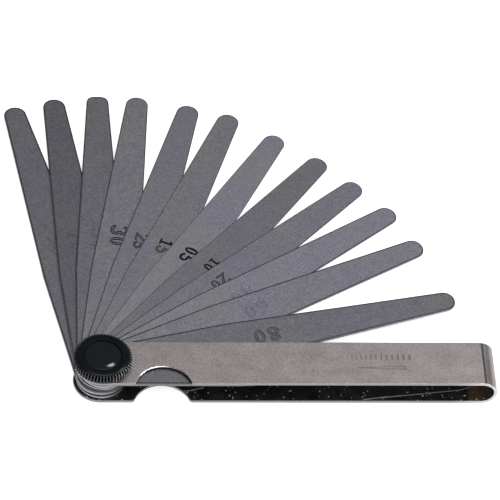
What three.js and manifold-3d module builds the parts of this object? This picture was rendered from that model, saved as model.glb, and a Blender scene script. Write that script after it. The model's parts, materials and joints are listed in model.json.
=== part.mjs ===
// Feeler gauge: thirteen steel blades of graded thickness on one stud, in a holder folded
// from sheet steel, clamped by a knurled plastic knob.
//
// Millimetres, +Z up. The origin is on the stud's axis, at the underside of the holder.
// +X runs along the holder to its closed end, and the blades fan out towards +Y. Each blade
// lies in its own layer of the stack, so it turns about the stud without meeting another.

import * as THREE from 'three';
import { mergeVertices } from 'three/addons/utils/BufferGeometryUtils.js';
import Module from 'manifold-3d';

const wasm = await Module();
wasm.setup();

// Blades, in the order they are stacked, from the lowest up. The angle is how far each one
// stands out of the holder, in degrees. Tips are ground by hand, so the lengths vary a little.
// The tip's outline is a superellipse: power 2 is an ellipse, and a higher power is squarer.
const BLADES = [
  { size: '0_90', thickness: 0.90, angle: 102.1, length: 98.9, tipPower: 2.1 },
  { size: '0_70', thickness: 0.70, angle: 95.4, length: 99.6, tipPower: 2.1 },
  { size: '0_50', thickness: 0.50, angle: 88.2, length: 99.9, tipPower: 2.9 },
  { size: '0_30', thickness: 0.30, angle: 81.7, length: 100.3, tipPower: 2.1 },
  { size: '0_25', thickness: 0.25, angle: 73.2, length: 100.2, tipPower: 2.1 },
  { size: '0_15', thickness: 0.15, angle: 66.4, length: 100.8, tipPower: 2.1 },
  { size: '0_05', thickness: 0.05, angle: 57.8, length: 99.8, tipPower: 2.1 },
  { size: '0_10', thickness: 0.10, angle: 49.4, length: 99.8, tipPower: 2.1 },
  { size: '0_20', thickness: 0.20, angle: 41.8, length: 99.8, tipPower: 2.1 },
  { size: '0_40', thickness: 0.40, angle: 34.1, length: 100.6, tipPower: 2.1 },
  { size: '0_60', thickness: 0.60, angle: 25.9, length: 100.0, tipPower: 2.1 },
  { size: '0_80', thickness: 0.80, angle: 13.8, length: 100.0, tipPower: 2.1 },
  { size: '1_00', thickness: 1.00, angle: 0, length: 100.0, tipPower: 2.1 },
];
const BLADE_WIDTH = 12.3;
const TAPER_START = 34.5; // from the stud's axis
const TIP_WIDTH = 5.9;
const TIP_DEPTH = 3; // length of the rounded part
const LAYER_GAP = 0.02; // between neighbouring layers of the stack

// Holder: a strip folded into a U, with two cheeks above and below the blades.
const SHEET = 0.8;
const HOLDER_WIDTH = 13.3;
const HOLDER_REACH = 99.6; // from the stud's axis to the outside of the bend
const CHEEK_END_SETBACK = 0.3; // the round ends' centre lies this far behind the stud's axis
const NOTCH_RADIUS = 7.35; // the finger notch is cut through both cheeks on the -Y side
const NOTCH_X = 15.2;
const NOTCH_DEPTH = 5.3;
const NOTCH_CORNER = 1;

// Stud: riveted flush into the lower cheek, plain through the stack and threaded above it.
const STUD_HEAD_RADIUS = 3.5;
const SHANK_RADIUS = 2.5;
const THREAD_RADIUS = 2;
const THREAD_LENGTH = 2.1; // above the upper cheek
const SHOULDER_DEPTH = 0.3; // the shoulder stops below the top of the upper cheek
const THREAD_CHAMFER = 0.3;

// Knob, with the washer in a recess below it, a threaded insert and a domed cap.
const KNOB_RADIUS = 7.45;
const KNOB_HEIGHT = 3;
const KNOB_WALL = 2.2; // height of the knurled wall, below the bevel
const KNOB_TOP_RADIUS = 6.3; // inside the bevel
const KNURL_TEETH = 56;
const KNURL_DEPTH = 0.3;
const KNOB_CLEARANCE = 0.12; // above the upper cheek
const WASHER_RADIUS = 5.2;
const WASHER_THICKNESS = 0.4;
const INSERT_RADIUS = 3.4;
const INSERT_HEIGHT = 1.6;
const CAP_RADIUS = 4.7;
const CAP_SEAT = 0.6; // depth of the cap's seat in the knob's top
const CAP_DOME = 0.3; // height of the dome above its rim

// Fits and facets.
const RUNNING_GAP = 0.05; // on the radius, where a blade or the knob turns on the stud
const FITTED_GAP = 0.03; // between pieces fixed to each other
const ROUND_SIDES = 32;
const ARC_STEPS = 16;
const TIP_STEPS = 8; // on each side of the tip
const OVERCUT = 1; // how far a cutting solid reaches past the face it cuts
const MERGE_DISTANCE = 1e-5;

const slotHeight = BLADES.reduce((sum, blade) => sum + blade.thickness + LAYER_GAP, LAYER_GAP);
const holderHeight = slotHeight + 2 * SHEET;
const halfTurn = Math.PI;
const quarterTurn = Math.PI / 2;

// A circle of this radius fits inside the polygon that the radius below gives.
const boreRadius = (radius) => radius / Math.cos(Math.PI / ROUND_SIDES);

const point = (x, y) => new THREE.Vector2(x, y);

function arc(x, y, radius, from, to, steps = ARC_STEPS) {
  const points = [];
  for (let i = 0; i <= steps; i += 1) {
    const angle = from + ((to - from) * i) / steps;
    points.push(point(x + radius * Math.cos(angle), y + radius * Math.sin(angle)));
  }
  return points;
}

function circle(radius, sides = ROUND_SIDES) {
  return arc(0, 0, radius, 0, 2 * Math.PI, sides).slice(0, sides);
}

// A plate with the outline in the XY plane, from z = 0 up.
function plate(outline, thickness, holes = []) {
  const shape = new THREE.Shape(outline);
  holes.forEach((hole) => shape.holes.push(new THREE.Path(hole)));
  return new THREE.ExtrudeGeometry(shape, { depth: thickness, bevelEnabled: false });
}

// A turned piece about Z. The profile's points are (radius, height).
function turned(profile, sides = ROUND_SIDES) {
  const points = profile.map(([radius, height]) => point(radius, height));
  return new THREE.LatheGeometry(points, sides).rotateX(quarterTurn);
}

function toSolid(geometry) {
  const bare = geometry.clone();
  bare.deleteAttribute('normal');
  bare.deleteAttribute('uv');
  const merged = mergeVertices(bare, MERGE_DISTANCE);
  return new wasm.Manifold(new wasm.Mesh({
    numProp: 3,
    vertProperties: new Float32Array(merged.attributes.position.array),
    triVerts: new Uint32Array(merged.index.array),
  }));
}

function toGeometry(solid) {
  const { vertProperties, triVerts } = solid.getMesh();
  const geometry = new THREE.BufferGeometry();
  geometry.setAttribute('position', new THREE.BufferAttribute(vertProperties, 3));
  geometry.setIndex(new THREE.BufferAttribute(triVerts, 1));
  geometry.computeVertexNormals();
  return geometry;
}

// Blade: a round end about the stud, parallel sides, then a straight taper to a rounded tip.
function bladeGeometry({ thickness, length, tipPower }) {
  const endRadius = BLADE_WIDTH / 2;
  const tipStart = length - endRadius - TIP_DEPTH;
  const outline = [
    ...arc(0, 0, endRadius, quarterTurn, 3 * quarterTurn),
    point(TAPER_START, -endRadius),
  ];
  for (let i = -TIP_STEPS; i <= TIP_STEPS; i += 1) {
    const angle = (quarterTurn * i) / TIP_STEPS;
    const along = Math.abs(Math.cos(angle)) ** (2 / tipPower);
    const across = Math.sign(angle) * Math.abs(Math.sin(angle)) ** (2 / tipPower);
    outline.push(point(tipStart + TIP_DEPTH * along, (TIP_WIDTH / 2) * across));
  }
  outline.push(point(TAPER_START, endRadius));
  return plate(outline, thickness, [circle(boreRadius(SHANK_RADIUS + RUNNING_GAP))]);
}

// The strip's section along the holder, folded round the closed end.
function foldedStrip() {
  const middle = holderHeight / 2;
  const bendX = HOLDER_REACH - middle;
  const openX = -HOLDER_WIDTH;
  const section = [
    point(openX, 0),
    ...arc(bendX, middle, middle, -quarterTurn, quarterTurn),
    point(openX, holderHeight),
    point(openX, holderHeight - SHEET),
    ...arc(bendX, middle, middle - SHEET, quarterTurn, -quarterTurn),
    point(openX, SHEET),
  ];
  const depth = HOLDER_WIDTH + 2 * OVERCUT;
  return plate(section, depth).rotateX(quarterTurn).translate(0, depth / 2, 0);
}

// The holder seen from above: round ends, and the finger notch with rounded corners.
function holderPlan() {
  const half = HOLDER_WIDTH / 2;
  const notchY = NOTCH_DEPTH - half - NOTCH_RADIUS;
  const cornerY = NOTCH_CORNER - half;
  const cornerRise = cornerY - notchY;
  const cornerRun = Math.sqrt((NOTCH_RADIUS + NOTCH_CORNER) ** 2 - cornerRise ** 2);
  const meet = Math.atan2(cornerRise, cornerRun);
  return [
    point(HOLDER_REACH + OVERCUT, -half),
    point(HOLDER_REACH + OVERCUT, half),
    ...arc(-CHEEK_END_SETBACK, 0, half, quarterTurn, 3 * quarterTurn),
    ...arc(NOTCH_X - cornerRun, cornerY, NOTCH_CORNER, -quarterTurn, -meet, ARC_STEPS / 2),
    ...arc(NOTCH_X, notchY, NOTCH_RADIUS, halfTurn - meet, meet),
    ...arc(NOTCH_X + cornerRun, cornerY, NOTCH_CORNER, halfTurn + meet, 3 * quarterTurn, ARC_STEPS / 2),
  ];
}

function holderGeometry() {
  const height = holderHeight + 2 * OVERCUT;
  const plan = plate(holderPlan(), height).translate(0, 0, -OVERCUT);
  const headCut = STUD_HEAD_RADIUS + FITTED_GAP;
  const shankCut = boreRadius(SHANK_RADIUS + RUNNING_GAP);
  const studHole = turned([
    [0, -OVERCUT],
    [headCut, -OVERCUT],
    [headCut, 0],
    [shankCut, SHEET],
    [shankCut, holderHeight + OVERCUT],
    [0, holderHeight + OVERCUT],
  ]);
  return toGeometry(toSolid(foldedStrip()).intersect(toSolid(plan)).subtract(toSolid(studHole)));
}

function studGeometry() {
  const shoulder = holderHeight - SHOULDER_DEPTH;
  const top = holderHeight + THREAD_LENGTH;
  return turned([
    [0, 0],
    [STUD_HEAD_RADIUS, 0],
    [SHANK_RADIUS, SHEET],
    [SHANK_RADIUS, shoulder],
    [THREAD_RADIUS, shoulder],
    [THREAD_RADIUS, top - THREAD_CHAMFER],
    [THREAD_RADIUS - THREAD_CHAMFER, top],
    [0, top],
  ]);
}

// A turned ring: the profile runs up the outside and down the bore.
function ringGeometry(radius, bore, height) {
  return turned([[bore, 0], [radius, 0], [radius, height], [bore, height], [bore, 0]]);
}

// The heights below count from the top of the upper cheek.
const washerBase = LAYER_GAP;
const insertBase = washerBase + WASHER_THICKNESS + FITTED_GAP;
const knobTop = KNOB_CLEARANCE + KNOB_HEIGHT;
const capBase = knobTop - CAP_SEAT;

function knurledOutline() {
  const points = [];
  for (let i = 0; i < 2 * KNURL_TEETH; i += 1) {
    const radius = i % 2 === 0 ? KNOB_RADIUS : KNOB_RADIUS - KNURL_DEPTH;
    const angle = (Math.PI * i) / KNURL_TEETH;
    points.push(point(radius * Math.cos(angle), radius * Math.sin(angle)));
  }
  return points;
}

function knobGeometry() {
  const knurled = plate(knurledOutline(), KNOB_HEIGHT).translate(0, 0, KNOB_CLEARANCE);
  const bevelRise = KNOB_HEIGHT - KNOB_WALL;
  const bevelRun = KNOB_RADIUS - KNOB_TOP_RADIUS;
  const bevelled = turned([
    [0, KNOB_CLEARANCE - OVERCUT],
    [KNOB_RADIUS + bevelRun, KNOB_CLEARANCE - OVERCUT],
    [KNOB_RADIUS + bevelRun, knobTop - 2 * bevelRise],
    [KNOB_TOP_RADIUS, knobTop],
    [0, knobTop],
  ], KNURL_TEETH);
  const hollow = turned([
    [0, -OVERCUT],
    [WASHER_RADIUS + RUNNING_GAP, -OVERCUT],
    [WASHER_RADIUS + RUNNING_GAP, insertBase - FITTED_GAP / 2],
    [INSERT_RADIUS + FITTED_GAP, insertBase - FITTED_GAP / 2],
    [INSERT_RADIUS + FITTED_GAP, capBase - FITTED_GAP],
    [CAP_RADIUS + FITTED_GAP, capBase - FITTED_GAP],
    [CAP_RADIUS + FITTED_GAP, knobTop + OVERCUT],
    [0, knobTop + OVERCUT],
  ]);
  return toGeometry(toSolid(knurled).intersect(toSolid(bevelled)).subtract(toSolid(hollow)));
}

// The cap's rim is flush with the knob's top, and its face is a shallow dome.
function capGeometry() {
  const domeSteps = 5;
  const profile = [[0, 0], [CAP_RADIUS, 0]];
  for (let i = domeSteps; i >= 0; i -= 1) {
    const share = i / domeSteps;
    profile.push([CAP_RADIUS * share, CAP_SEAT + CAP_DOME * (1 - share ** 2)]);
  }
  return turned(profile);
}

function material(color, roughness, metalness) {
  return new THREE.MeshStandardMaterial({ color, roughness, metalness });
}

const gauge = new THREE.Group();

function addPart(name, geometry, finish, height = 0, angle = 0) {
  const mesh = new THREE.Mesh(geometry, finish);
  mesh.name = name;
  mesh.position.z = height;
  mesh.rotation.z = THREE.MathUtils.degToRad(angle);
  gauge.add(mesh);
}

addPart('holder', holderGeometry(), material(0x968c8a, 0.45, 0.9));
addPart('pivot_stud', studGeometry(), material(0x9a9a9c, 0.35, 1));

let layer = SHEET + LAYER_GAP;
BLADES.forEach((blade) => {
  const finish = material(0x6c6b72, 0.4, 1);
  addPart(`blade_${blade.size}`, bladeGeometry(blade), finish, layer, blade.angle);
  layer += blade.thickness + LAYER_GAP;
});

const washerBore = boreRadius(THREAD_RADIUS + RUNNING_GAP);
addPart(
  'knob_washer',
  ringGeometry(WASHER_RADIUS, washerBore, WASHER_THICKNESS),
  material(0xa0a0a2, 0.3, 1),
  holderHeight + washerBase,
);
addPart('knob', knobGeometry(), material(0x141619, 0.25, 0), holderHeight);
addPart(
  'knob_insert',
  ringGeometry(INSERT_RADIUS, washerBore, INSERT_HEIGHT),
  material(0xb08d4a, 0.35, 1),
  holderHeight + insertBase,
);
addPart('knob_cap', capGeometry(), material(0x14161a, 0.18, 0), holderHeight + capBase);

export default gauge;
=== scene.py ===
import json
import math

import bmesh
import bpy
from mathutils import Matrix, Vector
from mathutils.geometry import tessellate_polygon


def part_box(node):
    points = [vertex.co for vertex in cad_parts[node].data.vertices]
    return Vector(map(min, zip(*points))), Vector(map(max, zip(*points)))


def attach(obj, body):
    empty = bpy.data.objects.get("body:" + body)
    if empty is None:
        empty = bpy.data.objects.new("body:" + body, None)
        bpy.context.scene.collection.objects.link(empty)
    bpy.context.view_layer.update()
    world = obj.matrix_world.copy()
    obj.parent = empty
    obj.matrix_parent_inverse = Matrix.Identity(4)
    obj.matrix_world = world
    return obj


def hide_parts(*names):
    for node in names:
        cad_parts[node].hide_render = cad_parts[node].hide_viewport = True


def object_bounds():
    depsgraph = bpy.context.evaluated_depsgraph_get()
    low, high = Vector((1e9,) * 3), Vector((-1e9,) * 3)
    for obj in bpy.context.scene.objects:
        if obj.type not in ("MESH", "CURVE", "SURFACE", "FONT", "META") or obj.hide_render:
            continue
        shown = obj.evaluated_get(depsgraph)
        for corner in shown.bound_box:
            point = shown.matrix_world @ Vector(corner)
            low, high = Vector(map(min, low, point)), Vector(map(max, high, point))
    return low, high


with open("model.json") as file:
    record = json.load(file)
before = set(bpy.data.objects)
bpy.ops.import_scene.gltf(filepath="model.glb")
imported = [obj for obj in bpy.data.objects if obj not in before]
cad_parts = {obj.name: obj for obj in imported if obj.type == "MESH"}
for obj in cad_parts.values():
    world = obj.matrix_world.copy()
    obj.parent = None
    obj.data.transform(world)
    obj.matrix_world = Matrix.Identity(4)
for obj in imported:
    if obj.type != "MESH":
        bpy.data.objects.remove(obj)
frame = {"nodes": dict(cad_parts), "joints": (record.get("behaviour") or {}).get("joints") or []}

cad_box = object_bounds()

# Lengths are in millimetres until a piece is made, and angles are in radians.
MM = 0.001
QUARTER = math.pi / 2
HALF = math.pi
FULL = 2 * math.pi

# Sizes that the frame doesn't state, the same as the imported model's.
SHEET = 0.8
BLADE_WIDTH = 12.3
TAPER_START = 34.5
TIP_WIDTH = 5.9
TIP_DEPTH = 3.0
TIP_POWER = {"blade_0_50": 2.9}
USUAL_TIP_POWER = 2.1
BORE_RADIUS = 2.55
NOTCH_RADIUS = 7.35
NOTCH_X = 15.2
NOTCH_DEPTH = 5.3
NOTCH_CORNER = 1.0
CHEEK_END_SETBACK = 0.3
KNURL_TEETH = 56


def span(node):
    """A node's lowest and highest corners, in millimetres."""
    low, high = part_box(node)
    return low / MM, high / MM


# ---------------------------------------------------------------- outlines


def arc(x, y, radius, start, end, steps=24):
    turn = (end - start) / steps
    return [
        (x + radius * math.cos(start + turn * i), y + radius * math.sin(start + turn * i))
        for i in range(steps + 1)
    ]


def circle(radius, steps=96, x=0.0, y=0.0):
    return arc(x, y, radius, 0, FULL, steps)[:-1]


def without_repeats(outline):
    kept = []
    for point in outline:
        if not kept or math.dist(point, kept[-1]) > 1e-5:
            kept.append(point)
    if math.dist(kept[0], kept[-1]) < 1e-5:
        kept.pop()
    return kept


def inset(outline, distance, factor=None):
    """A closed outline moved to its left by distance: inwards, if it runs anticlockwise.

    The factor is a function of a point, which multiplies the distance there.
    """
    moved = []
    count = len(outline)
    for i, point in enumerate(outline):
        before = Vector(outline[i - 1])
        here = Vector(point)
        after = Vector(outline[(i + 1) % count])
        first = (here - before).normalized()
        second = (after - here).normalized()
        first_side = Vector((-first.y, first.x))
        second_side = Vector((-second.y, second.x))
        share = distance / (1 + first_side.dot(second_side))
        if factor:
            share *= factor(point)
        moved.append(tuple(here + (first_side + second_side) * share))
    return moved


def ribbon(path, width):
    """The outline of a stroke along the path, with round ends."""
    half = width / 2
    count = len(path)
    left = []
    right = []
    for i in range(count):
        before = Vector(path[max(i - 1, 0)])
        here = Vector(path[i])
        after = Vector(path[min(i + 1, count - 1)])
        first = (here - before).normalized() if i > 0 else (after - here).normalized()
        second = (after - here).normalized() if i < count - 1 else first
        first_side = Vector((-first.y, first.x))
        second_side = Vector((-second.y, second.x))
        reach = (first_side + second_side) * (half / max(1 + first_side.dot(second_side), 0.5))
        left.append(tuple(here + reach))
        right.append(tuple(here - reach))
    end = Vector(path[-1]) - Vector(path[-2])
    start = Vector(path[1]) - Vector(path[0])
    end_turn = math.atan2(end.y, end.x)
    start_turn = math.atan2(start.y, start.x)
    end_cap = arc(*path[-1], half, end_turn - QUARTER, end_turn + QUARTER, 8)
    start_cap = arc(*path[0], half, start_turn + QUARTER, start_turn + 3 * QUARTER, 8)
    return without_repeats(right + end_cap + left[::-1] + start_cap)


# ---------------------------------------------------------------- shells


class Shell:
    """A closed surface, built up from rings of points."""

    def __init__(self):
        self.points = []
        self.faces = []
        self.slots = []

    def ring(self, outline, height):
        start = len(self.points)
        self.points += [(x, y, height) for x, y in outline]
        return list(range(start, len(self.points)))

    def face(self, corners, slot):
        self.faces.append(corners)
        self.slots.append(slot)

    def band(self, low, high, slot):
        count = len(low)
        for i in range(count):
            j = (i + 1) % count
            self.face((low[i], low[j], high[j], high[i]), slot)

    def cap(self, loops, slot, up=True):
        """Fills the first loop, less the others."""
        indices = [i for loop in loops for i in loop]
        corners = [[Vector(self.points[i]) for i in loop] for loop in loops]
        for triangle in tessellate_polygon(corners):
            a, b, c = (Vector(self.points[indices[k]]) for k in triangle)
            facing = (b - a).cross(c - a).z
            ordered = triangle if (facing > 0) == up else triangle[::-1]
            self.face(tuple(indices[k] for k in ordered), slot)

    def sink(self, mark, top, floor):
        """Sinks a mark into a face at the height top, and returns the loop that it leaves there.

        A mark is [outline, islands], and an island is [outline, the marks on it].
        """
        outer, islands = mark
        outer_top = self.ring(outer, top)
        outer_floor = self.ring(outer, floor)
        island_floors = []
        for island, marks in islands:
            island_top = self.ring(island, top)
            island_floor = self.ring(island, floor)
            self.band(island_floor, island_top, MARK)
            self.cap([island_top] + [self.sink(inner, top, floor) for inner in marks], FACE)
            island_floors.append(island_floor)
        self.band(outer_top, outer_floor, MARK)
        self.cap([outer_floor] + island_floors, MARK)
        return outer_top

    def mesh(self, name):
        """The mesh, with all its faces turned outwards."""
        made = bpy.data.meshes.new(name)
        made.from_pydata(self.points, [], self.faces)
        made.polygons.foreach_set("material_index", self.slots)
        made.validate()
        bm = bmesh.new()
        bm.from_mesh(made)
        turn_outwards(bm)
        bm.to_mesh(made)
        bm.free()
        return made


def turn_outwards(bm):
    """Turns every face outwards. The normals have to be fresh, both before and after."""
    bm.normal_update()
    bmesh.ops.recalc_face_normals(bm, faces=bm.faces[:])
    bm.normal_update()


# Material slots. Plates use the first five, and the holder uses them all.
FACE = 0
EDGE = 1
MARK = 2
UNDER = 3
MARGIN = 4
PAINTED_SHADE_WALL = 5
SHADED_CREASE = 6
PAINTED_ROLL = 7


EDGE_STEPS = 4


def edge_steps(thickness, depth, width, margin):
    """(inset, height) from the underside, round the edge and on to the top."""
    under = []
    for i in range(EDGE_STEPS + 1):
        turn = QUARTER * i / EDGE_STEPS
        under.append((width * (1 - math.sin(turn)), depth * (1 - math.cos(turn))))
    over = [(inward, thickness - height) for inward, height in reversed(under)]
    return [(width + margin, 0.0)] + under + over + [(width + margin, thickness)]


def rounded_plate(
    outline,
    holes,
    thickness,
    edge,
    rounding=EDGE,
    under=MARGIN,
    marks=(),
    mark_depth=0.0,
    factor=None,
):
    """A plate with rounded edges, and with marks sunk into its top.

    The edge is the depth and width of its rounding, and the width of the margin inside that.
    The factor, a function of a point, widens the edge there.
    """
    shell = Shell()
    steps = edge_steps(thickness, *edge)
    slots = [under] + [rounding] * EDGE_STEPS + [EDGE] + [rounding] * EDGE_STEPS + [MARGIN]
    tops = []
    bottoms = []
    for loop in [without_repeats(outline)] + [without_repeats(hole)[::-1] for hole in holes]:
        rings = [shell.ring(inset(loop, inward, factor), height) for inward, height in steps]
        for low, high, slot in zip(rings, rings[1:], slots):
            shell.band(low, high, slot)
        bottoms.append(rings[0])
        tops.append(rings[-1])
    shell.cap(bottoms, UNDER if under == UNDER else FACE, up=False)
    for mark in marks:
        tops.append(shell.sink(mark, thickness, thickness - mark_depth))
    shell.cap(tops, FACE)
    return shell


def revolve(profile, sides, closed=False, radius_at=None):
    """A turned shell about Z. The profile's points, (radius, height), run out, up and back in."""
    shell = Shell()
    rings = []
    for radius, height in profile:
        if radius == 0:
            rings.append(shell.ring([(0, 0)], height))
            continue
        points = []
        for i in range(sides):
            turn = FULL * i / sides
            reach = radius if radius_at is None else radius_at(radius, height, turn)
            points.append((reach * math.cos(turn), reach * math.sin(turn)))
        rings.append(shell.ring(points, height))
    count = len(rings)
    for k in range(count if closed else count - 1):
        low = rings[k]
        high = rings[(k + 1) % count]
        if len(low) == 1:
            for i in range(sides):
                shell.face((low[0], high[(i + 1) % sides], high[i]), FACE)
        elif len(high) == 1:
            for i in range(sides):
                shell.face((low[i], low[(i + 1) % sides], high[0]), FACE)
        else:
            shell.band(low, high, FACE)
    return shell


def place(name, mesh, materials, body, nodes, turn=0.0, height=0.0, sharp=40):
    """Makes the piece from a mesh in millimetres, and lets it ride on its body."""
    mesh.transform(
        Matrix.Scale(MM, 4) @ Matrix.Translation((0, 0, height)) @ Matrix.Rotation(turn, 4, "Z")
    )
    for material in materials:
        mesh.materials.append(material)
    mesh.polygons.foreach_set("use_smooth", [True] * len(mesh.polygons))
    mesh.set_sharp_from_angle(angle=math.radians(sharp))
    piece = bpy.data.objects.new(name, mesh)
    bpy.context.scene.collection.objects.link(piece)
    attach(piece, body)
    if nodes:
        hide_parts(*nodes)


# ---------------------------------------------------------------- numerals

# Digits are drawn in a box one unit wide and two high: the width of a stroke, and of the line
# round an open one.
STROKE = 0.4
LINE = 0.155
# How wide a digit's box is on the blade, as a share of the pitch from digit to digit.
DIGIT_SHARE = 0.66
EIGHT_HEIGHTS = (0.54, 1.53)
EIGHT_RADII = (0.62, 0.55)
NOUGHT_REACH = (0.56, 1.06)
# A nought's stroke is thinner at its ends than at its sides.
NOUGHT_ENDS = 0.8
OVAL_STEPS = 40
# Digits that are never drawn open.
ALWAYS_SOLID = "14"


def eight_outline():
    """Two circles, one above the other, joined."""
    low_y, high_y = EIGHT_HEIGHTS
    low_r, high_r = EIGHT_RADII
    gap = high_y - low_y
    waist = (gap**2 + low_r**2 - high_r**2) / (2 * gap)
    low_turn = math.asin(waist / low_r)
    high_turn = math.asin((gap - waist) / high_r)
    outer = arc(0.5, low_y, low_r, HALF - low_turn, FULL + low_turn, 32)
    outer += arc(0.5, high_y, high_r, -high_turn, HALF + high_turn, 32)
    holes = [circle(low_r - STROKE, 24, 0.5, low_y), circle(high_r - STROKE, 24, 0.5, high_y)]
    return outer, [(hole, []) for hole in holes]


def nought_oval(inward):
    """The nought's outer oval, moved inwards."""
    across = NOUGHT_REACH[0] - inward
    up = NOUGHT_REACH[1] - inward * NOUGHT_ENDS
    turns = [FULL * i / OVAL_STEPS for i in range(OVAL_STEPS)]
    return [(0.5 + across * math.cos(turn), 1 + up * math.sin(turn)) for turn in turns]


def nought_outline():
    return nought_oval(0), [(nought_oval(STROKE), [])]


def turned_over(points):
    return [(1 - x, 2 - y) for x, y in points]


def bow(x, y, radius, start, end, steps):
    """An arc with its angles in degrees."""
    return arc(x, y, radius, math.radians(start), math.radians(end), steps)


# Strokes. The six's loop ends just short of its stem, so that its outline doesn't cross itself.
SIX = bow(1.35, 0.75, 1.32, 112, 180, 12)[:-1] + bow(0.5, 0.52, 0.47, 152, 451, 28)
STROKES = {
    "2": bow(0.5, 1.5, 0.48, 165, -25, 16) + [(0.05, 0.02), (1.02, 0.02)],
    "3": bow(0.48, 1.52, 0.46, 155, -53, 16) + bow(0.46, 0.53, 0.5, 53, -155, 20),
    "5": [(0.95, 1.98), (0.2, 1.98), (0.13, 1.12)] + bow(0.44, 0.6, 0.52, 100, -150, 20),
    "6": SIX,
    "7": [(0.0, 1.98), (0.98, 1.98), (0.34, 0.0)],
    "9": turned_over(SIX),
}


# Straight-sided outlines.
ONE = [(0.0, 0.0), (1.1, 0.0), (1.1, 0.26), (0.76, 0.26), (0.76, 2.0), (0.44, 2.0)]
ONE += [(0.02, 1.66), (0.02, 1.36), (0.38, 1.56), (0.38, 0.26), (0.0, 0.26)]
FOUR = [(0.90, 2.0), (0.56, 2.0), (-0.10, 0.76), (-0.10, 0.46), (0.56, 0.46), (0.56, 0.0)]
FOUR += [(0.90, 0.0), (0.90, 0.46), (1.12, 0.46), (1.12, 0.76), (0.90, 0.76)]
FOUR_ISLAND = [(0.56, 0.76), (0.24, 0.76), (0.56, 1.40)]


def outlined_marks(digit):
    """Thin lines round the strokes of a digit, as [outline, islands] pairs."""
    if digit in STROKES:
        path = STROKES[digit]
        return [(ribbon(path, STROKE), [(ribbon(path, STROKE - 2 * LINE), [])])]
    if digit == "8":
        outer, holes = eight_outline()
        bands = []
        for hole, y, radius in zip(holes, EIGHT_HEIGHTS, EIGHT_RADII):
            groove = (circle(radius - STROKE + LINE, 24, 0.5, y), [hole])
            bands.append((circle(radius - LINE, 32, 0.5, y), [groove]))
        return [(outer, bands)]
    outer, holes = nought_outline()
    groove = (nought_oval(STROKE - LINE), holes)
    return [(outer, [(nought_oval(LINE), [groove])])]


def digit_marks(digit):
    """The digit's outlines, one unit wide and two high, as [outline, islands] pairs."""
    if digit == "0":
        return [nought_outline()]
    if digit == "8":
        return [eight_outline()]
    if digit == "1":
        return [(ONE, [])]
    if digit == "4":
        return [(FOUR, [(FOUR_ISLAND, [])])]
    return [(ribbon(STROKES[digit], STROKE), [])]


def anticlockwise(outline):
    area = sum(
        outline[i - 1][0] * outline[i][1] - outline[i][0] * outline[i - 1][1]
        for i in range(len(outline))
    )
    return outline if area > 0 else outline[::-1]


def number_marks(text, centre, shift, height, pitch, outlined):
    """Marks for a number that reads from the blade's tip towards the stud."""
    width = pitch * DIGIT_SHARE
    marks = []
    for i, character in enumerate(text):
        middle = centre + ((len(text) - 1) / 2 - i) * pitch

        def on_blade(area):
            outline, inner = area
            placed = [
                (middle - (x - 0.5) * width, shift - (y - 1) * height / 2)
                for x, y in without_repeats(outline)
            ]
            return anticlockwise(placed), [on_blade(each) for each in inner]

        open_digit = outlined and character not in ALWAYS_SOLID
        drawn = outlined_marks(character) if open_digit else digit_marks(character)
        marks += [on_blade(mark) for mark in drawn]
    return marks


# ---------------------------------------------------------------- materials


class Nodes:
    """Short calls for building a material's nodes."""

    def __init__(self, name):
        self.material = bpy.data.materials.new(name)
        self.material.use_nodes = True
        self.tree = self.material.node_tree
        self.shader = self.tree.nodes["Principled BSDF"]

    def add(self, kind, inputs=None, **settings):
        node = self.tree.nodes.new(kind)
        for key, value in settings.items():
            setattr(node, key, value)
        for key, value in (inputs or {}).items():
            self.feed(node.inputs[key], value)
        return node

    def feed(self, socket, value):
        if isinstance(value, bpy.types.NodeSocket):
            self.tree.links.new(value, socket)
        else:
            socket.default_value = value

    def set(self, **inputs):
        for key, value in inputs.items():
            self.feed(self.shader.inputs[key.replace("_", " ")], value)

    def coordinates(self, cell=(1.0, 1.0, 1.0), turn=0.0):
        """The piece's own coordinates in cells of a size, along axes turned about Z."""
        own = self.add("ShaderNodeTexCoord").outputs["Object"]
        inputs = {"Vector": own, "Rotation": (0, 0, turn), "Scale": cell}
        return self.add("ShaderNodeMapping", inputs, vector_type="TEXTURE").outputs["Vector"]

    def noise(self, scale, detail=2.0, roughness=0.5, turn=0.0):
        """Noise whose grain is so many per millimetre along X, Y and Z."""
        inputs = {
            "Vector": self.coordinates(tuple(MM / s for s in scale), turn),
            "Scale": 1.0,
            "Detail": detail,
            "Roughness": roughness,
        }
        return self.add("ShaderNodeTexNoise", inputs).outputs["Fac"]

    def fit(self, value, limits, to_low, to_high):
        """From to_low to to_high, as the value crosses the limits."""
        inputs = {"Value": value, "From Min": limits[0], "From Max": limits[1]}
        inputs |= {"To Min": to_low, "To Max": to_high}
        return self.add("ShaderNodeMapRange", inputs).outputs["Result"]

    def math(self, operation, a, b):
        node = self.add("ShaderNodeMath", operation=operation)
        self.feed(node.inputs[0], a)
        self.feed(node.inputs[1], b)
        return node.outputs[0]

    def mix(self, factor, a, b):
        node = self.add("ShaderNodeMix", data_type="RGBA")
        self.feed(node.inputs["Factor"], factor)
        self.feed(node.inputs["A"], a)
        self.feed(node.inputs["B"], b)
        return node.outputs["Result"]

    def blend(self, value, limits, a, b):
        """From a to b, as the value crosses the limits."""
        return self.mix(self.fit(value, limits, 0.0, 1.0), a, b)

    def along(self, turn=0.0):
        """The distance along the piece's own X axis, or along that axis turned about Z."""
        own = self.coordinates(turn=turn)
        return self.add("ShaderNodeSeparateXYZ", {"Vector": own}).outputs["X"]

    def bump(self, height, strength, distance, normal=None):
        inputs = {"Height": height, "Strength": strength, "Distance": distance * MM}
        if normal is not None:
            inputs["Normal"] = normal
        return self.add("ShaderNodeBump", inputs).outputs["Normal"]


def rgb(red, green, blue):
    return (red, green, blue, 1.0)


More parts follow.
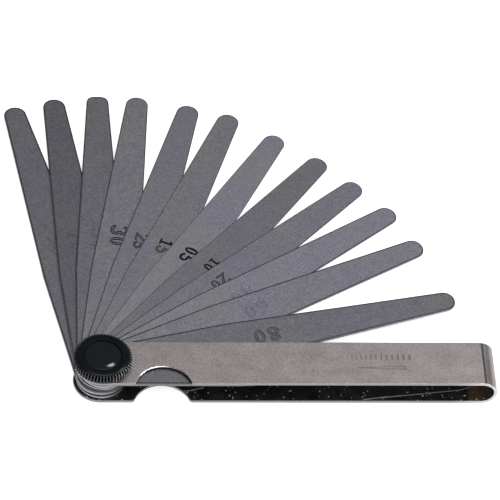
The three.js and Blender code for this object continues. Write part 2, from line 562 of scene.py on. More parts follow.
def shade(colour, factor):
    return rgb(*(min(c * factor, 1.0) for c in colour[:3]))


# The limits that most of a noise's values lie between.
MOST = (0.3, 0.7)

# Where the holder's painted light and shade, and its stain, change along it, in metres from the
# stud.
NOTCH_PAINTED_SHADE = (0.0148, 0.0168)
CHEEK_PAINTED_LIGHT = (0.02, 0.095)
CUT_EDGE_HIGHLIGHT = (0.088, 0.0965)
STAIN_STARTS = (0.0922, 0.0928)
STAIN_FADES = (0.0955, 0.0985)
BEND_PAINTED_SHADE = (0.0965, 0.099)

BLADE_COLOUR = rgb(0.325, 0.32, 0.368)
HOLDER_COLOUR = rgb(0.482, 0.430, 0.435)


def blade_steel(name, tone, turn):
    """Tempered strip: a fine satin grain, faint lengthwise grinding and a soft, uneven temper."""
    n = Nodes(name)
    base = shade(BLADE_COLOUR, tone)
    mottle = n.noise((0.3, 0.5, 0.5), 4.0, 0.6)
    tint = n.noise((0.07, 0.07, 0.07), 2.0)
    grain = n.noise((2.6, 2.6, 2.6), 3.0, 0.7)
    grinding = n.noise((0.25, 9.0, 9.0), 3.0, 0.6, turn=turn)
    blue = rgb(base[0] * 0.97, base[1] * 0.96, base[2] * 1.03)
    straw = rgb(base[0] * 1.05, base[1] * 1.02, base[2] * 0.88)
    temper = n.blend(tint, (0.42, 0.62), blue, straw)
    patchy = n.mix(n.fit(mottle, MOST, 0.0, 0.4), temper, shade(base, 0.9))
    dark = n.mix(n.fit(grain, (0.3, 0.5), 1.0, 0.0), patchy, shade(base, 0.65))
    grainy = n.blend(grain, (0.5, 0.7), dark, shade(base, 1.35))
    n.set(Base_Color=grainy, Metallic=1.0)
    rough = n.math("ADD", n.fit(grinding, MOST, 0.30, 0.38), n.fit(mottle, MOST, 0.0, 0.06))
    n.set(Roughness=rough)
    fine = n.bump(grinding, 0.3, 0.006)
    n.set(Normal=n.bump(grain, 0.5, 0.008, fine))
    return n.material


def painted_shading_edge(name, tone):
    """The blade's rounded edge, its tone painting light and shade: darker than the face as painted
    shade, lighter on an edge painted as lit.
    """
    n = Nodes(name)
    streak = n.noise((1.5, 1.5, 14.0), 3.0, 0.6)
    low = shade(rgb(0.14, 0.14, 0.155), tone)
    high = shade(rgb(0.24, 0.235, 0.25), tone)
    colour = n.blend(streak, MOST, low, high)
    n.set(Base_Color=colour, Metallic=1.0, Roughness=n.fit(streak, MOST, 0.48, 0.64))
    n.set(Normal=n.bump(streak, 0.3, 0.01))
    return n.material


def etched(name, dark, light, metallic, roughness, gloss=0.5):
    """The etched floor of a mark."""
    n = Nodes(name)
    speck = n.noise((7.0, 7.0, 7.0), 2.0, 0.6)
    n.set(Base_Color=n.blend(speck, (0.35, 0.7), dark, light))
    n.set(Metallic=metallic, Roughness=roughness, Specular_IOR_Level=gloss)
    n.set(Normal=n.bump(speck, 0.4, 0.006))
    return n.material


def holder_steel(name, colour, rough):
    """Satin nickel over sheet steel: a fine matt grain, with painted light making it paler towards
    the bend and painted shade making it dark round the bend.
    """
    n = Nodes(name)
    cloud = n.noise((0.18, 0.25, 0.25), 4.0, 0.6)
    grain = n.noise((2.4, 2.4, 2.4), 3.0, 0.7)
    streak = n.noise((1.6, 0.22, 0.22), 2.0, 0.5)
    along = n.along()
    warm = rgb(colour[0] * 0.93, colour[1] * 0.92, colour[2] * 0.88)
    # Painted light: the cheek turns paler towards the bend.
    paler = n.blend(along, CHEEK_PAINTED_LIGHT, shade(colour, 0.96), shade(colour, 1.1))
    patchy = n.mix(n.fit(cloud, (0.35, 0.65), 0.6, 0.0), paler, warm)
    dark = n.mix(n.fit(grain, (0.3, 0.5), 0.8, 0.0), patchy, shade(colour, 0.55))
    light = n.mix(n.fit(grain, (0.5, 0.7), 0.0, 0.8), dark, shade(colour, 1.4))
    streaky = n.mix(n.fit(streak, (0.4, 0.75), 0.0, 0.3), light, shade(colour, 1.12))
    # Painted shade: the holder darkens round the bend.
    n.set(Base_Color=n.blend(along, BEND_PAINTED_SHADE, streaky, shade(colour, 0.45)))
    n.set(Metallic=1.0, Roughness=n.fit(cloud, MOST, rough - 0.03, rough + 0.05))
    n.set(Normal=n.bump(grain, 0.4, 0.008, n.bump(streak, 0.15, 0.01)))
    return n.material


def cut_edge(name):
    """The holder's sheared and tumbled edge: dull, with fine shear lines, and painted paler at the
    bend as a painted highlight.
    """
    n = Nodes(name)
    shear = n.noise((9.0, 9.0, 1.2), 3.0, 0.6)
    nick = n.noise((0.9, 0.9, 0.9), 2.0, 0.7)
    colour = n.blend(shear, MOST, rgb(0.20, 0.195, 0.20), rgb(0.28, 0.275, 0.28))
    nicked = n.mix(n.fit(nick, (0.6, 0.75), 0.0, 0.6), colour, rgb(0.15, 0.145, 0.145))
    along = n.along()
    # Painted highlight: the cut edge turns pale towards the bend.
    n.set(Base_Color=n.blend(along, CUT_EDGE_HIGHLIGHT, nicked, rgb(0.46, 0.45, 0.46)))
    n.set(Metallic=1.0, Roughness=n.fit(shear, MOST, 0.22, 0.4))
    n.set(Normal=n.bump(shear, 0.3, 0.01))
    return n.material


def painted_roll_edge(name):
    """The rolled edge of the upper notch: painted bright on the stud's side as a painted highlight,
    and dark on the other as painted shade.
    """
    n = Nodes(name)
    rub = n.noise((2.0, 2.0, 2.0), 3.0, 0.6)
    along = n.along()
    ragged = n.math("ADD", along, n.fit(rub, MOST, -0.0006, 0.0006))
    bright = n.blend(rub, MOST, rgb(0.68, 0.67, 0.66), rgb(0.86, 0.85, 0.84))
    # Painted highlight on the stud's side of the notch, painted shade beyond it.
    n.set(Base_Color=n.blend(ragged, NOTCH_PAINTED_SHADE, bright, rgb(0.17, 0.165, 0.17)))
    n.set(Metallic=1.0, Roughness=n.fit(rub, MOST, 0.18, 0.3))
    n.set(Normal=n.bump(rub, 0.2, 0.01))
    return n.material


def inner_steel(name):
    """Inside of the holder: dark, partly with oil and partly as painted shade, with dust specks and
    a brown stain in the bend.
    """
    n = Nodes(name)
    cloud = n.noise((0.3, 0.3, 0.3), 3.0, 0.6)
    speck = n.noise((1.9, 1.9, 1.9), 1.0, 0.4)
    along = n.along()
    ragged = n.math("ADD", along, n.fit(cloud, MOST, -0.0015, 0.0015))
    # Dark base: part oil, part painted shade inside the holder.
    dark = n.blend(cloud, MOST, rgb(0.035, 0.036, 0.04), rgb(0.065, 0.065, 0.064))
    brown = n.blend(cloud, (0.35, 0.65), rgb(0.10, 0.075, 0.04), rgb(0.26, 0.20, 0.11))
    fading = n.blend(ragged, STAIN_FADES, brown, dark)
    stained = n.blend(ragged, STAIN_STARTS, dark, fading)
    dust = n.fit(speck, (0.735, 0.76), 0.0, 1.0)
    n.set(Base_Color=n.mix(dust, stained, rgb(0.9, 0.9, 0.86)))
    n.set(Metallic=n.math("SUBTRACT", 1.0, dust), Roughness=n.fit(cloud, MOST, 0.35, 0.5))
    n.set(Normal=n.bump(cloud, 0.3, 0.05))
    return n.material


def reflection_streak_steel(name):
    """Bright streaks on the lower cheek's dark inside: a painted reflection of light."""
    n = Nodes(name)
    streak = n.noise((0.5, 6.0, 6.0), 3.0, 0.6)
    n.set(Base_Color=n.blend(streak, MOST, rgb(0.25, 0.24, 0.2), rgb(0.7, 0.68, 0.6)))
    n.set(Metallic=0.6, Roughness=0.45)
    n.set(Normal=n.bump(streak, 0.4, 0.01))
    return n.material


def turned_steel(name, colour, rough):
    """Plated turned steel, with fine lathe rings."""
    n = Nodes(name)
    rings = n.add("ShaderNodeTexWave", wave_type="RINGS", rings_direction="Z")
    n.feed(rings.inputs["Vector"], n.coordinates((MM,) * 3))
    n.feed(rings.inputs["Scale"], 4.0)
    n.feed(rings.inputs["Distortion"], 0.6)
    cloud = n.noise((0.8, 0.8, 0.8), 3.0, 0.6)
    n.set(Base_Color=n.blend(cloud, MOST, shade(colour, 0.85), colour))
    n.set(Metallic=1.0, Roughness=n.fit(cloud, MOST, rough, rough + 0.12))
    n.set(Normal=n.bump(rings.outputs["Fac"], 0.2, 0.01))
    return n.material


def black_plastic(name, rough, wear, refraction):
    """Glossy moulded plastic, with a faint moulding texture and dust-fine scuffs."""
    n = Nodes(name)
    cloud = n.noise((0.5, 0.5, 0.5), 3.0, 0.55)
    speck = n.noise((5.0, 5.0, 5.0), 2.0, 0.6)
    colour = n.blend(cloud, MOST, rgb(0.0015, 0.0025, 0.004), rgb(0.003, 0.0045, 0.007))
    n.set(Base_Color=n.mix(n.fit(speck, (0.62, 0.78), 0.0, wear), colour, rgb(0.02, 0.021, 0.024)))
    n.set(Roughness=n.fit(cloud, MOST, rough, rough + 0.08))
    n.set(IOR=refraction)
    n.set(Normal=n.bump(speck, 0.12, 0.01, n.bump(cloud, 0.1, 0.05)))
    return n.material


# The side where the knob's crests are painted pale as a painted highlight, and how far out, in
# metres, the painted highlight starts.
HIGHLIGHT_SIDE = math.radians(-28)
CREST_HIGHLIGHT_SPAN = (0.0052, 0.0068)


def highlighted_crest_plastic(name):
    """The crests of the knob's teeth: a little paler all round, and painted pale on one side as a
    painted highlight.
    """
    n = Nodes(name)
    rub = n.noise((1.4, 1.4, 0.7), 3.0, 0.65)
    along = n.along(turn=HIGHLIGHT_SIDE)
    pale = n.blend(along, CREST_HIGHLIGHT_SPAN, rgb(0.06, 0.062, 0.066), rgb(0.42, 0.42, 0.43))
    n.set(Base_Color=n.blend(rub, (0.35, 0.65), rgb(0.006, 0.007, 0.009), pale))
    n.set(Roughness=n.fit(rub, (0.35, 0.65), 0.25, 0.45), IOR=1.5)
    n.set(Normal=n.bump(rub, 0.2, 0.02))
    return n.material


# ---------------------------------------------------------------- blades

# Where a number's middle is along and across the blade, then its height and pitch.
USUAL_NUMBER = (44.5, 0.1, 4.2, 3.6)
NUMBERS = {
    "blade_0_30": (45.8, 0.2, 4.0, 3.7),
    "blade_0_25": (44.9, 1.0, 3.1, 2.8),
    "blade_0_15": (45.2, 0.1, 3.5, 2.7),
    "blade_0_05": (45.6, 0.2, 3.5, 2.8),
    "blade_0_10": (46.2, 0.3, 2.9, 2.4),
    "blade_0_20": (43.2, 0.8, 3.2, 2.9),
    "blade_0_80": (43.5, 0.0, 4.3, 3.8),
}
# The rounding of a blade's edge is this deep, or this share of a thin blade. It is wider than
# it is deep by the roll, which is a share of the thickness.
BLADE_EDGE_DEPTH = 0.12
THIN_EDGE_SHARE = 0.3
BLADE_ROLL = 0.1
# The width of the margin painted dark as shade along the edge: a length, and a share of the
# thickness.
BLADE_MARGIN = (0.1, 0.22)
TIP_STEPS = 20
# How far the blades' round ends stand back, in turn up the stack.
PLAY = (0.1, 0.5, 0.2, 0.65, 0.0, 0.3)
# How light each blade is painted, as painted light and shade: lighter or darker for how light falls
# at its angle, darker for the folded blade under the cheek.
TONE = {
    "blade_0_90": 0.80,
    "blade_0_70": 0.68,
    "blade_0_50": 0.83,
    "blade_0_30": 1.03,
    "blade_0_05": 1.15,
    "blade_0_10": 0.89,
    "blade_0_20": 1.01,
    "blade_0_40": 1.15,
    "blade_0_60": 1.08,
    "blade_0_80": 0.84,
    "blade_1_00": 0.78,
}
# How dark the blades' painted shade margin is.
MARGIN_TONE = 0.45
# How light each blade's edge is painted, as painted light and shade: lighter low in the stack,
# darker on the top blade.
USUAL_EDGE_TONE = 1.6
EDGE_TONE = {
    "blade_0_90": 2.6,
    "blade_0_70": 2.6,
    "blade_0_50": 2.2,
    "blade_0_80": 1.9,
    "blade_0_60": 1.9,
    "blade_1_00": 1.0,
}
STAMPED = ("blade_0_90", "blade_0_80", "blade_0_70", "blade_0_60", "blade_0_50")
STAMPED += ("blade_0_40", "blade_1_00")
STAMP_DEPTH = 0.12
# The stamped floors are painted darker than the blade, as painted shade in the recess.
STAMP_TONE = {"blade_0_80": 0.5}
OUTLINED = ("blade_0_30", "blade_0_25", "blade_0_15", "blade_0_20", "blade_0_80")
USUAL_STAMP_TONE = 0.88
ETCH_DEPTH = 0.006


def blade_outline(reach, power, play):
    """The blade's outline. Its round end falls short of a half circle by the play in its hole."""
    half = BLADE_WIDTH / 2
    tip_start = reach - TIP_DEPTH
    outline = [(x * (1 - play / half), y) for x, y in arc(0, 0, half, QUARTER, 3 * QUARTER, 48)]
    outline.append((TAPER_START, -half))
    for i in range(-TIP_STEPS, TIP_STEPS + 1):
        turn = QUARTER * i / TIP_STEPS
        along = abs(math.cos(turn)) ** (2 / power)
        across = math.copysign(abs(math.sin(turn)) ** (2 / power), turn)
        outline.append((tip_start + TIP_DEPTH * along, TIP_WIDTH / 2 * across))
    return outline + [(TAPER_START, half)]


def add_blade(node, index, angle, tone, painted_shade_margin, black_ink):
    low, high = span(node)
    thickness = high.z - low.z
    reach = max(math.hypot(v.co.x, v.co.y) for v in frame["nodes"][node].data.vertices) / MM
    text = node.removeprefix("blade_").removeprefix("0_").replace("_", "")
    stamped = node in STAMPED
    # The stamp's floor is painted darker, as shade in the recess.
    stamp_tone = tone * STAMP_TONE.get(node, USUAL_STAMP_TONE)
    depth = min(BLADE_EDGE_DEPTH, thickness * THIN_EDGE_SHARE)
    margin = BLADE_MARGIN[0] + BLADE_MARGIN[1] * thickness
    edge = (depth, depth + BLADE_ROLL * thickness, margin)
    shell = rounded_plate(
        blade_outline(reach, TIP_POWER.get(node, USUAL_TIP_POWER), PLAY[index % len(PLAY)]),
        [circle(BORE_RADIUS)],
        thickness,
        edge,
        rounding=MARGIN,
        marks=number_marks(text, *NUMBERS.get(node, USUAL_NUMBER), node in OUTLINED),
        mark_depth=STAMP_DEPTH if stamped else ETCH_DEPTH,
    )
    steel = blade_steel(f"steel_{node}", tone, angle)
    materials = [
        steel,
        painted_shading_edge(f"edge_{node}", EDGE_TONE.get(node, USUAL_EDGE_TONE)),
        blade_steel(f"stamp_{node}", stamp_tone, angle) if stamped else black_ink,
        steel,
        painted_shade_margin,
    ]
    place(f"{node}_leaf", shell.mesh(node), materials, node, [node], angle, low.z)


def add_blades():
    painted_shade_margin = painted_shading_edge("blade_painted_shade_margin", MARGIN_TONE)
    black = rgb(0.001, 0.001, 0.0012)
    worn_black = rgb(0.004, 0.004, 0.005)
    black_ink = etched("size_mark_black", black, worn_black, 0.0, 0.7, 0.15)
    swings = [joint for joint in frame["joints"] if joint["child"].startswith("blade")]
    for index, joint in enumerate(swings):
        angle = -math.radians(joint["range_deg"][0])
        node = joint["child"]
        add_blade(node, index, angle, TONE.get(node, 1.0), painted_shade_margin, black_ink)


# ---------------------------------------------------------------- holder

HOLDER_EDGE = (0.08, 0.1, 0.05)
# The width and depth of the worn roll round the upper notch. It fades out over the last
# millimetre before WEAR_STOPS, which is measured in from the notch's sides.
NOTCH_ROLL = (0.28, 0.18)
WEAR_STOPS = 0.7
# The strip along a cheek's straight side that isn't part of the notch, and the highest that a
# face of the notch's wall points.
SIDE_EDGE = 0.3
WALL_STEEPNESS = 0.2
CREASE_SETBACK = 0.45
CREASE_WIDTH = 0.6
CREASE_MARGIN = 0.05
BEND_STEPS = 40
# How far the stud's head covers the rim of the lower cheek's hole.
STUD_LIP = 0.35
HOLDER_MARK_DEPTH = 0.02
SCALE_MARKS_X = 70.0
BAR_COUNT = 13
BAR_START = -8.2
BAR_ENDS = (0.9, 2.7)
FIRST_BAR = 0.16
BAR_GROWTH = 0.035
BAR_GAP = 0.94
# The wedge's two ends, (x, low y, high y), and its hollow's.
WEDGE = ((-6.0, -1.65, -1.45), (6.4, -2.15, -0.95))
HOLLOW = ((-2.0, -1.6, -1.5), (6.1, -1.9, -1.2))


def scale_marks(centre):
    """A row of bars that grow thicker, above a wedge: blades from thin to thick."""
    marks = []
    low, high = BAR_ENDS
    x = centre + BAR_START
    for i in range(BAR_COUNT):
        width = FIRST_BAR + BAR_GROWTH * i
        marks.append(([(x, low), (x + width, low), (x + width, high), (x, high)], []))
        x += width + BAR_GAP

    def tapered(ends):
        (x0, low0, high0), (x1, low1, high1) = ends
        corners = [(x0, low0), (x1, low1), (x1, high1), (x0, high0)]
        return [(centre + corner_x, y) for corner_x, y in corners]

    marks.append((tapered(WEDGE), [(tapered(HOLLOW), [])]))
    return marks


def strip_side(half):
    """The notched edge of one cheek, from its round end towards the bend, on the -Y side."""
    notch_y = NOTCH_DEPTH - half - NOTCH_RADIUS
    corner_y = NOTCH_CORNER - half
    rise = corner_y - notch_y
    run = math.sqrt((NOTCH_RADIUS + NOTCH_CORNER) ** 2 - rise**2)
    meet = math.atan2(rise, run)
    first = arc(NOTCH_X - run, corner_y, NOTCH_CORNER, -QUARTER, -meet, 10)
    notch = arc(NOTCH_X, notch_y, NOTCH_RADIUS, HALF - meet, meet, 48)
    last = arc(NOTCH_X + run, corner_y, NOTCH_CORNER, HALF + meet, 3 * QUARTER, 10)
    return first + notch + last


def add_holder():
    high = span("holder")[1]
    half = high.y
    height = high.z
    middle = height / 2
    bend_x = high.x - middle
    bend_length = HALF * middle
    # The strip is laid out flat: the lower cheek, the bend, then the upper cheek, seen from
    # the face that ends up outside.
    total = 2 * bend_x + bend_length
    lower_side = strip_side(half)
    upper_side = [(total - x, y) for x, y in reversed(lower_side)]
    outline = lower_side + upper_side
    outline += arc(total + CHEEK_END_SETBACK, 0, half, -QUARTER, QUARTER, 48)
    outline += arc(-CHEEK_END_SETBACK, 0, half, QUARTER, 3 * QUARTER, 48)
    stud_head = span("pivot_stud")[1].x
    holes = [circle(stud_head - STUD_LIP), circle(BORE_RADIUS, 96, total)]

    def unrolled(area):
        area_outline, inner = area
        flat = anticlockwise([(total - x, y) for x, y in area_outline])
        return flat, [unrolled(each) for each in inner]

    marks = [unrolled(mark) for mark in scale_marks(SCALE_MARKS_X)]
    # The crease at the bend's start, which is painted dark as shade.
    crease_x = bend_x + bend_length - CREASE_SETBACK
    inner_half = half - HOLDER_EDGE[1] - HOLDER_EDGE[2] - CREASE_MARGIN
    crease = [(crease_x - CREASE_WIDTH, -inner_half), (crease_x, -inner_half)]
    crease += [(x, -y) for x, y in reversed(crease)]
    marks.append((crease, []))
    notch_x = total - NOTCH_X
    notch_y = NOTCH_DEPTH - half - NOTCH_RADIUS

    def wear(point):
        """From 0 to 1 where the upper notch is rolled over and worn."""
        if point[1] > notch_y + NOTCH_RADIUS + 1:
            return 0.0
        return min(1.0, max(0.0, NOTCH_RADIUS - WEAR_STOPS - abs(point[0] - notch_x)))

    shell = rounded_plate(
        outline,
        holes,
        SHEET,
        HOLDER_EDGE,
        under=UNDER,
        marks=marks,
        mark_depth=HOLDER_MARK_DEPTH,
        factor=lambda point: 1 + (NOTCH_ROLL[0] / HOLDER_EDGE[1] - 1) * wear(point),
    )
    mesh = shell.mesh("holder")
    bm = bmesh.new()
    bm.from_mesh(mesh)
    for i in range(BEND_STEPS + 1):
        cut = bend_x + bend_length * i / BEND_STEPS
        parts = bm.verts[:] + bm.edges[:] + bm.faces[:]
        bmesh.ops.bisect_plane(bm, geom=parts, plane_co=(cut, 0, 0), plane_no=(1, 0, 0), dist=1e-6)
    for vertex in bm.verts:
        along, across, up = vertex.co
        from_wall = math.hypot(along - notch_x, across - notch_y) - NOTCH_RADIUS
        worn = wear((along, across)) if from_wall < NOTCH_ROLL[0] else 0.0
        if up > SHEET / 2 and worn > 0:
            roll = 1 - min(1.0, max(0.0, from_wall / NOTCH_ROLL[0]))
            sunk = NOTCH_ROLL[1] * (1 - math.sqrt(1 - min(roll, 0.999) ** 2))
            up -= worn * max(0.0, sunk - (SHEET - up))
        depth = SHEET - up
        if along <= bend_x:
            vertex.co = (along, across, depth)
        elif along >= bend_x + bend_length:
            vertex.co = (total - along, across, height - depth)
        else:
            turn = (along - bend_x) / middle - QUARTER
            reach = middle - depth
            vertex.co = (bend_x + reach * math.cos(turn), across, middle + reach * math.sin(turn))
    turn_outwards(bm)
    # The upper notch's wall is painted dark as shade, its rolled edge is painted bright on the
    # stud's side and dark beyond as light and shade, and the mark at the bend is a crease painted
    # dark as shade.
    for face in bm.faces:
        where = face.calc_center_median()
        by_notch = abs(where.x - NOTCH_X) < NOTCH_RADIUS + NOTCH_CORNER
        in_notch = by_notch and SIDE_EDGE - half < where.y < 0 and where.z > middle
        if face.material_index == EDGE and in_notch:
            face.material_index = PAINTED_SHADE_WALL if face.normal.z < WALL_STEEPNESS else PAINTED_ROLL
        elif face.material_index == MARK and where.x > bend_x - 1:
            face.material_index = SHADED_CREASE
    bm.to_mesh(mesh)
    bm.free()
    satin = holder_steel("holder_satin", HOLDER_COLOUR, 0.36)
    materials = [
        satin,
        cut_edge("holder_cut_edge"),
        etched("holder_mark", rgb(0.15, 0.145, 0.14), rgb(0.29, 0.28, 0.27), 0.9, 0.5),
        inner_steel("holder_inside"),
        satin,
        # The notch's wall, painted dark as shade.
        painted_shading_edge("holder_shaded_wall", 0.12),
        # The crease, painted dark as the shade where the bend starts.
        etched("holder_crease_shade", rgb(0.07, 0.068, 0.068), rgb(0.15, 0.145, 0.145), 0.9, 0.45),
        painted_roll_edge("holder_painted_roll_edge"),
    ]
    place("holder_body", mesh, materials, "holder", ["holder"])


# The painted reflection streaks: their thickness, how far above the cheek they lie, and their edge.
STREAK_THICKNESS = 0.008
STREAK_LIFT = 0.002
STREAK_EDGE = (0.002, 0.002, 0.01)


def add_reflection_streaks():
    """Painted reflections: bright streaks of light on the lower cheek's inside."""
    material = reflection_streak_steel("reflection_streak_steel")
    rest = SHEET + STREAK_LIFT
    long_streak = [(66, -6.2), (70, -5.6), (80, -4.45), (90, -3.2), (91.6, -2.9), (93, -2.3)]
    short_streak = [(21.4, -3.6), (23.5, -3.1), (25.8, -2.5)]
    for name, path, width in (("streak_long", long_streak, 0.22), ("streak_short", short_streak, 0.3)):
        shell = rounded_plate(ribbon(path, width), [], STREAK_THICKNESS, STREAK_EDGE)
        materials = [material] * 5
        place(name, shell.mesh(name), materials, "holder", [], height=rest)


# ---------------------------------------------------------------- stud, washer and knob


CORNER_STEPS = 5


def rounded(corner, radius, before, after):
    """Points round a profile's corner, between the points before and after it."""
    here = Vector(corner)
    back = (Vector(before) - here).normalized()
    ahead = (Vector(after) - here).normalized()
    half_angle = back.angle(ahead) / 2
    reach = radius / math.tan(half_angle)
    centre = here + (back + ahead).normalized() * (radius / math.sin(half_angle))
    start = here + back * reach - centre
    end = here + ahead * reach - centre
    turn = start.angle_signed(end) if start.length else 0
    points = []
    for i in range(CORNER_STEPS + 1):
        step = Matrix.Rotation(-turn * i / CORNER_STEPS, 2) @ start
        points.append(tuple(centre + step))
    return points


def softened(profile, radii):
    """The closed profile with its corners rounded. A radius of 0 keeps a corner."""
    points = []
    count = len(profile)
    for i, (corner, radius) in enumerate(zip(profile, radii)):
        if radius == 0:
            points.append(corner)
        else:
            points += rounded(corner, radius, profile[i - 1], profile[(i + 1) % count])
    return points


SHANK_RADIUS = 2.5
THREAD_RADIUS = 2.0
THREAD_PITCH = 0.7
THREAD_LENGTH = 2.4
THREAD_DEPTH = 0.32
THREAD_ROWS = 40
# The bores of the insert and the washer.
THREAD_CLEAR = 2.07


def add_stud():
    high = span("pivot_stud")[1]
    head = high.x
    top = high.z
    shank = SHANK_RADIUS
    thread = THREAD_RADIUS
    thread_start = top - THREAD_LENGTH
    thread_end = top - 0.3
    # The riveted end, with a dimple, then the shank and the thread.
    profile = [(0, 0.12), (0.5, 0.1), (0.8, 0.0)]
    profile += [(head - 0.25, 0.0), (head - 0.1, 0.03), (head, 0.1)]
    profile += [(shank, SHEET), (shank, thread_start - 0.06)]
    profile += [(shank - 0.06, thread_start), (thread, thread_start)]
    for i in range(1, THREAD_ROWS):
        profile.append((thread, thread_start + (thread_end - thread_start) * i / THREAD_ROWS))
    profile += [(thread - 0.05, top - 0.25), (thread - 0.35, top), (0, top)]

    def threaded(radius, height, turn):
        if radius != thread or height <= thread_start:
            return radius
        wave = abs(((height / THREAD_PITCH - turn / FULL) % 1.0) * 2 - 1)
        return radius - THREAD_DEPTH * min(1.0, 1.15 * wave)

    shell = revolve(profile, 96, radius_at=threaded)
    material = turned_steel("stud_steel", rgb(0.58, 0.57, 0.57), 0.28)
    place("stud", shell.mesh("stud"), [material], "holder", ["pivot_stud"])


def ring_piece(name, node, edge, material, body, radius_at=None):
    """A ring round the stud's thread, with its corners rounded to the radius edge."""
    low, high = span(node)
    bore = THREAD_CLEAR
    profile = [(bore, low.z), (high.x, low.z), (high.x, high.z), (bore, high.z)]
    soft = softened(profile, [edge] * 4)
    shell = revolve(soft, 120, closed=True, radius_at=radius_at)
    place(name, shell.mesh(name), [material], body, [node])


BEVEL_HEIGHT = 2.2
KNOB_TOP_RADIUS = 6.3
# The teeth start at this radius, and are full depth where they have run out by the fade.
TOOTH_START = 6.75
TOOTH_FADE = 0.5
TOOTH_DEPTH = 0.6
# The crests that are paler, and painted pale on one side as a painted highlight: half a crest's
# width, as a share of the pitch.
CREST_SHARE = 0.1
CREST_START = TOOTH_START + 0.15
# The width and height of the chamfer round the knob's foot.
CHAMFER = (0.45, 0.4)
# The outer band of the knob that is cut finely for the teeth, and its steps.
TOOTHED_BAND = 1.4
PROFILE_STEP = 0.12
# The gaps round the cap and the insert, the washer, and under the insert.
KNOB_GAP = 0.03
WASHER_GAP = 0.05
INSERT_GAP = 0.015


def add_knob():
    low, high = span("knob")
    bottom, top = low.z, high.z
    radius = high.x
    washer_high = span("knob_washer")[1]
    insert_low, insert_high = span("knob_insert")
    cap_low, cap_high = span("knob_cap")

    def knurled(reach, height, turn):
        fade = min(1.0, max(0.0, (reach - TOOTH_START) / TOOTH_FADE))
        return reach - TOOTH_DEPTH * fade * (1 - abs(math.cos(KNURL_TEETH * turn / 2)))

    seat = cap_high.x + KNOB_GAP
    washer_seat = washer_high.x + WASHER_GAP
    bore = insert_high.x + KNOB_GAP
    corners = [
        (washer_seat, bottom),
        (radius - CHAMFER[0], bottom),
        (radius, bottom + CHAMFER[1]),
        (radius, bottom + BEVEL_HEIGHT),
        (KNOB_TOP_RADIUS, top),
        (seat, top),
        (seat, cap_low.z - KNOB_GAP),
        (bore, cap_low.z - KNOB_GAP),
        (bore, insert_low.z - INSERT_GAP),
        (washer_seat, insert_low.z - INSERT_GAP),
    ]
    radii = [0.08, 0.08, 0.15, 0.25, 0.3, 0.12, 0.0, 0.0, 0.0, 0.0]
    profile = []
    for point in softened(corners, radii):
        if profile and point[0] > radius - TOOTHED_BAND:
            last = profile[-1]
            steps = max(1, round(math.dist(last, point) / PROFILE_STEP))
            for i in range(1, steps):
                profile.append(tuple(Vector(last).lerp(Vector(point), i / steps)))
        profile.append(point)
    shell = revolve(profile, KNURL_TEETH * 10, closed=True, radius_at=knurled)
    for i, face in enumerate(shell.faces):
        middle = sum((Vector(shell.points[corner]) for corner in face), Vector()) / len(face)
        phase = KNURL_TEETH * math.atan2(middle.y, middle.x) / FULL
        on_crest = abs(phase - round(phase)) < CREST_SHARE
        if on_crest and math.hypot(middle.x, middle.y) > CREST_START:
            shell.slots[i] = EDGE
    mesh = shell.mesh("knob_grip")
    materials = [black_plastic("knob_plastic", 0.25, 0.35, 1.2), highlighted_crest_plastic("knob_crests")]
    place("knob_grip", mesh, materials, "knob", ["knob"], sharp=70)


# The cap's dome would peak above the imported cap's top, but for its dished middle.
CROWN = 0.3
RIM_DROP = 0.55
RIM_ROUND = 0.05
DISH_RADIUS = 3.4
DISH_DEPTH = 0.06


def add_cap():
    low, high = span("knob_cap")
    rim = high.x
    peak = high.z + CROWN
    rim_top = high.z - RIM_DROP
    edge = rim - RIM_ROUND
    curve = (edge**2 + (peak - rim_top) ** 2) / (2 * (peak - rim_top))

    def dome(radius):
        return peak - curve + math.sqrt(curve**2 - radius**2)

    profile = [(0, low.z), (edge, low.z), (rim, low.z + RIM_ROUND), (rim, rim_top - 0.06)]
    profile.append((edge, dome(edge) - 0.01))
    for radius in (4.5, 4.3, 4.1, 3.9, 3.7, 3.55, DISH_RADIUS):
        profile.append((radius, dome(radius)))
    for radius in (3.3, 3.2, 3.0, 2.5, 2.0, 1.5, 1.0, 0.5, 0):
        sunk = DISH_DEPTH * (1 - (radius / DISH_RADIUS) ** 4)
        profile.append((radius, dome(DISH_RADIUS) - sunk))
    shell = revolve(profile, 128)
    plastic = black_plastic("cap_plastic", 0.07, 0.2, 1.34)
    place("cap", shell.mesh("cap"), [plastic], "knob", ["knob_cap"], sharp=50)


FLUTE_COUNT = 30
FLUTE_DEPTH = 0.12


def add_small_parts():
    plated = turned_steel("washer_steel", rgb(0.62, 0.61, 0.61), 0.25)
    brass = turned_steel("insert_brass", rgb(0.68, 0.52, 0.26), 0.3)
    insert_radius = span("knob_insert")[1].x

    def fluted(reach, height, turn):
        depth = FLUTE_DEPTH * (0.5 + 0.5 * math.cos(FLUTE_COUNT * turn))
        return reach - depth if reach > insert_radius - 0.05 else reach

    ring_piece("washer", "knob_washer", 0.07, plated, "knob_seat")
    ring_piece("insert", "knob_insert", 0.1, brass, "knob", fluted)


# ---------------------------------------------------------------- stage

CAMERA_TARGET = Vector((40.48, 43.52, 0.0))
CAMERA_DISTANCE = 1205.0
CAMERA_AZIMUTH = math.radians(9.04)
CAMERA_ELEVATION = math.radians(49.57)
CAMERA_ROLL = math.radians(7.16)
CAMERA_LENS = 336.2


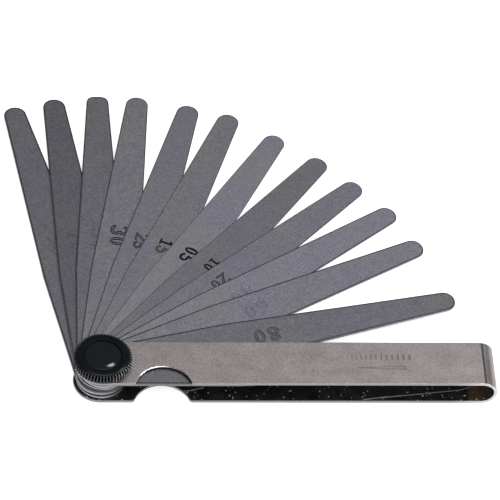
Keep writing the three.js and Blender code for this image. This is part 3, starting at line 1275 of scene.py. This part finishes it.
def add_camera():
    ahead = Vector(
        (
            math.sin(CAMERA_AZIMUTH) * math.cos(CAMERA_ELEVATION),
            math.cos(CAMERA_AZIMUTH) * math.cos(CAMERA_ELEVATION),
            -math.sin(CAMERA_ELEVATION),
        )
    )
    level = Vector((math.cos(CAMERA_AZIMUTH), -math.sin(CAMERA_AZIMUTH), 0))
    upright = level.cross(ahead)
    right = level * math.cos(CAMERA_ROLL) + upright * math.sin(CAMERA_ROLL)
    up = right.cross(ahead)
    data = bpy.data.cameras.new("camera")
    data.lens = CAMERA_LENS
    data.sensor_width = 36.0
    data.clip_start = 0.05
    data.clip_end = 10.0
    camera = bpy.data.objects.new("camera", data)
    camera.matrix_world = Matrix((right, up, -ahead)).transposed().to_4x4()
    camera.location = (CAMERA_TARGET - ahead * CAMERA_DISTANCE) * MM
    bpy.context.scene.collection.objects.link(camera)
    bpy.context.scene.camera = camera


# In metres: half the floor's width, and how far it lies below the gauge.
FLOOR_REACH = 3.0
FLOOR_DROP = 0.0001


def add_floor():
    reach = FLOOR_REACH
    height = cad_box[0].z - FLOOR_DROP
    mesh = bpy.data.meshes.new("floor")
    corners = [(-reach, -reach), (reach, -reach), (reach, reach), (-reach, reach)]
    mesh.from_pydata([(x, y, height) for x, y in corners], [], [(0, 1, 2, 3)])
    n = Nodes("floor_paper")
    fibre = n.noise((0.02, 0.02, 0.02), 4.0, 0.6)
    n.set(Base_Color=n.blend(fibre, MOST, rgb(0.62, 0.62, 0.62), rgb(0.65, 0.65, 0.65)))
    n.set(Roughness=0.9, Emission_Color=rgb(1.0, 1.0, 1.0), Emission_Strength=0.72)
    mesh.materials.append(n.material)
    floor = bpy.data.objects.new("floor", mesh)
    bpy.context.scene.collection.objects.link(floor)


# The point that the lamps face, in metres.
LAMP_AIM = Vector((0.04, 0.04, 0.0))


def add_light(name, place_at, size, watts, shape="RECTANGLE", along=(1.0, 0.0, 0.0)):
    """An area lamp whose first side runs along a direction."""
    data = bpy.data.lights.new(name, "AREA")
    data.shape = shape
    data.size, data.size_y = size
    data.energy = watts
    light = bpy.data.objects.new(name, data)
    back = (Vector(place_at) - LAMP_AIM).normalized()
    side = (Vector(along) - back * back.dot(Vector(along))).normalized()
    light.matrix_world = Matrix((side, back.cross(side), back)).transposed().to_4x4()
    light.location = place_at
    bpy.context.scene.collection.objects.link(light)


def add_studio():
    """A studio tent, darker near the floor, with a wide softbox in front and two small lamps."""
    world = bpy.data.worlds.new("studio")
    world.use_nodes = True
    tree = world.node_tree
    direction = tree.nodes.new("ShaderNodeTexCoord")
    split = tree.nodes.new("ShaderNodeSeparateXYZ")
    fade = tree.nodes.new("ShaderNodeMapRange")
    fade.inputs["To Min"].default_value = 0.12
    fade.inputs["To Max"].default_value = 0.44
    tree.links.new(direction.outputs["Generated"], split.inputs["Vector"])
    tree.links.new(split.outputs["Z"], fade.inputs["Value"])
    tree.links.new(fade.outputs["Result"], tree.nodes["Background"].inputs["Strength"])
    tree.nodes["Background"].inputs["Color"].default_value = (1.0, 1.0, 1.0, 1.0)
    bpy.context.scene.world = world
    add_light("softbox", (0.0, -0.8, 1.5), (2.0, 1.0), 22.0)
    add_light("window", (0.41, 0.23, 1.2), (0.34, 0.2), 3.4, "ELLIPSE", along=(0.93, 0.37, 0.0))
    add_light("side", (0.95, -0.1, 0.8), (0.3, 0.3), 6.0)
    bpy.context.scene.view_settings.view_transform = "Standard"


add_camera()
add_holder()
add_reflection_streaks()
add_blades()
add_stud()
add_small_parts()
add_knob()
add_cap()
add_floor()
add_studio()
